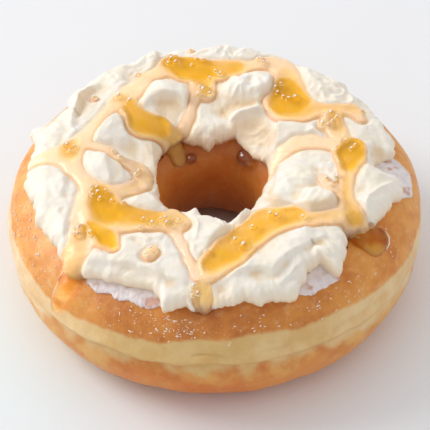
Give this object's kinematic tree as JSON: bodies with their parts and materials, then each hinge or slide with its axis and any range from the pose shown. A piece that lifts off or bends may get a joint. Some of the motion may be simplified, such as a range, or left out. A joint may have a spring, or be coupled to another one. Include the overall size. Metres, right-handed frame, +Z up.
{
  "type": "glazed ring doughnut topped with whipped cream and honey",
  "caption": "Yeast ring doughnut with a through hole, spread on top with thick whipped cream and a drizzle of honey that runs down its side.",
  "frame": {"origin": "centre of the hole, on the surface that the doughnut rests on", "axes": "+Z up along the hole, +Y away from the side that the picture shows in front, +X to that view's right"},
  "size_m": [0.0917, 0.0914, 0.0358],
  "materials": {
    "dough": "fried yeast dough, golden brown top and base, pale waist, thin sugar glaze",
    "cream": "thick whipped cream, soft satin, slightly translucent",
    "honey": "clear golden honey, wet gloss, with air bubbles",
    "icing": "thin milky sugar glaze, half see-through"
  },
  "bodies": {
    "root": {"dough_ring": "dough", "cream_topping": "cream"}
  },
  "joints": []
}
